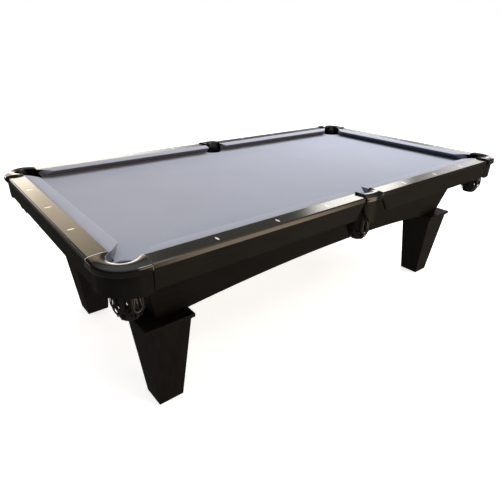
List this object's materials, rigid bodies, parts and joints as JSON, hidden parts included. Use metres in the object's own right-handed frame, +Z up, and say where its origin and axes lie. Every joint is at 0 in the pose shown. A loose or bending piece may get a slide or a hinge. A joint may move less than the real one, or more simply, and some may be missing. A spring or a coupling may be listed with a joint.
{
  "type": "pool table",
  "caption": "Pool table with a slate bed, cloth covered cushions, drop pockets with leather nets, a tapered cabinet and square tapered legs.",
  "frame": {"origin": "on the floor, under the centre of the table", "axes": "+X along the table to its right end, +Y across it to the back, +Z up"},
  "size_m": [2.5148, 1.4052, 0.8],
  "materials": {
    "slate": "honed",
    "backing": "raw",
    "bed_cloth": "short napped wool",
    "rail_lacquer": "satin black lacquer",
    "cushion_cloth": "short napped wool",
    "cushion_rubber": "matt",
    "feather_strip": "raw",
    "pearl": "polished pearl",
    "casting": "gloss black",
    "net_leather": "waxed black",
    "skirt": "satin black",
    "apron_lacquer": "satin black lacquer",
    "cabinet_lacquer": "satin black lacquer",
    "frame_wood": "raw",
    "leg_lacquer": "satin black lacquer",
    "pad_metal": "black",
    "steel": "zinc plated"
  },
  "bodies": {
    "table": {"slate_left": "slate", "slate_centre": "slate", "slate_right": "slate", "slate_backing": "backing", "bed_cloth": "bed_cloth", "rail_end_left": "rail_lacquer", "rail_end_right": "rail_lacquer", "rail_front_left": "rail_lacquer", "rail_front_right": "rail_lacquer", "rail_back_left": "rail_lacquer", "rail_back_right": "rail_lacquer", "cushion_end_left": "cushion_cloth", "cushion_end_right": "cushion_cloth", "cushion_front_left": "cushion_cloth", "cushion_front_right": "cushion_cloth", "cushion_back_left": "cushion_cloth", "cushion_back_right": "cushion_cloth", "cushion_rubber": "cushion_rubber", "feather_strips": "feather_strip", "rail_sights": "pearl", "casting_side_front": "casting", "casting_side_back": "casting", "casting_front_left": "casting", "casting_front_right": "casting", "casting_back_left": "casting", "casting_back_right": "casting", "corner_nets": "net_leather", "side_nets": "net_leather", "skirt_side_front": "skirt", "skirt_side_back": "skirt", "skirt_front_left": "skirt", "skirt_front_right": "skirt", "skirt_back_left": "skirt", "skirt_back_right": "skirt", "apron_end_left": "apron_lacquer", "apron_end_right": "apron_lacquer", "apron_front_left": "apron_lacquer", "apron_front_right": "apron_lacquer", "apron_back_left": "apron_lacquer", "apron_back_right": "apron_lacquer", "cabinet_front": "cabinet_lacquer", "cabinet_back": "cabinet_lacquer", "cabinet_end_left": "cabinet_lacquer", "cabinet_end_right": "cabinet_lacquer", "frame_beams": "frame_wood", "leg_front_left": "leg_lacquer", "leg_front_right": "leg_lacquer", "leg_back_left": "leg_lacquer", "leg_back_right": "leg_lacquer", "rail_bolts": "steel", "slate_screws": "steel", "leg_bolts": "steel"},
    "leveller_pad_front_left": {"pad_front_left": "pad_metal"},
    "leveller_stem_front_left": {"stem_front_left": "steel"},
    "leveller_pad_front_right": {"pad_front_right": "pad_metal"},
    "leveller_stem_front_right": {"stem_front_right": "steel"},
    "leveller_pad_back_left": {"pad_back_left": "pad_metal"},
    "leveller_stem_back_left": {"stem_back_left": "steel"},
    "leveller_pad_back_right": {"pad_back_right": "pad_metal"},
    "leveller_stem_back_right": {"stem_back_right": "steel"}
  },
  "joints": [
    {"name": "leveller_front_left", "type": "slide", "parent": "table", "child": "leveller_pad_front_left", "axis": [0, 0, -1], "range_m": [0, 0.02]},
    {"name": "stem_turn_front_left", "type": "hinge", "parent": "leveller_pad_front_left", "child": "leveller_stem_front_left", "pos_m": [-0.975, -0.4245, 0], "axis": [0, 0, -1], "range_deg": [0, 3600]},
    {"name": "leveller_front_right", "type": "slide", "parent": "table", "child": "leveller_pad_front_right", "axis": [0, 0, -1], "range_m": [0, 0.02]},
    {"name": "stem_turn_front_right", "type": "hinge", "parent": "leveller_pad_front_right", "child": "leveller_stem_front_right", "pos_m": [0.975, -0.4245, 0], "axis": [0, 0, -1], "range_deg": [0, 3600]},
    {"name": "leveller_back_left", "type": "slide", "parent": "table", "child": "leveller_pad_back_left", "axis": [0, 0, -1], "range_m": [0, 0.02]},
    {"name": "stem_turn_back_left", "type": "hinge", "parent": "leveller_pad_back_left", "child": "leveller_stem_back_left", "pos_m": [-0.975, 0.4245, 0], "axis": [0, 0, -1], "range_deg": [0, 3600]},
    {"name": "leveller_back_right", "type": "slide", "parent": "table", "child": "leveller_pad_back_right", "axis": [0, 0, -1], "range_m": [0, 0.02]},
    {"name": "stem_turn_back_right", "type": "hinge", "parent": "leveller_pad_back_right", "child": "leveller_stem_back_right", "pos_m": [0.975, 0.4245, 0], "axis": [0, 0, -1], "range_deg": [0, 3600]}
  ],
  "couplings": [
    {"joint": "stem_turn_front_left", "follows": "leveller_front_left", "rad_per_m": 3141.6},
    {"joint": "stem_turn_front_right", "follows": "leveller_front_right", "rad_per_m": 3141.6},
    {"joint": "stem_turn_back_left", "follows": "leveller_back_left", "rad_per_m": 3141.6},
    {"joint": "stem_turn_back_right", "follows": "leveller_back_right", "rad_per_m": 3141.6}
  ]
}
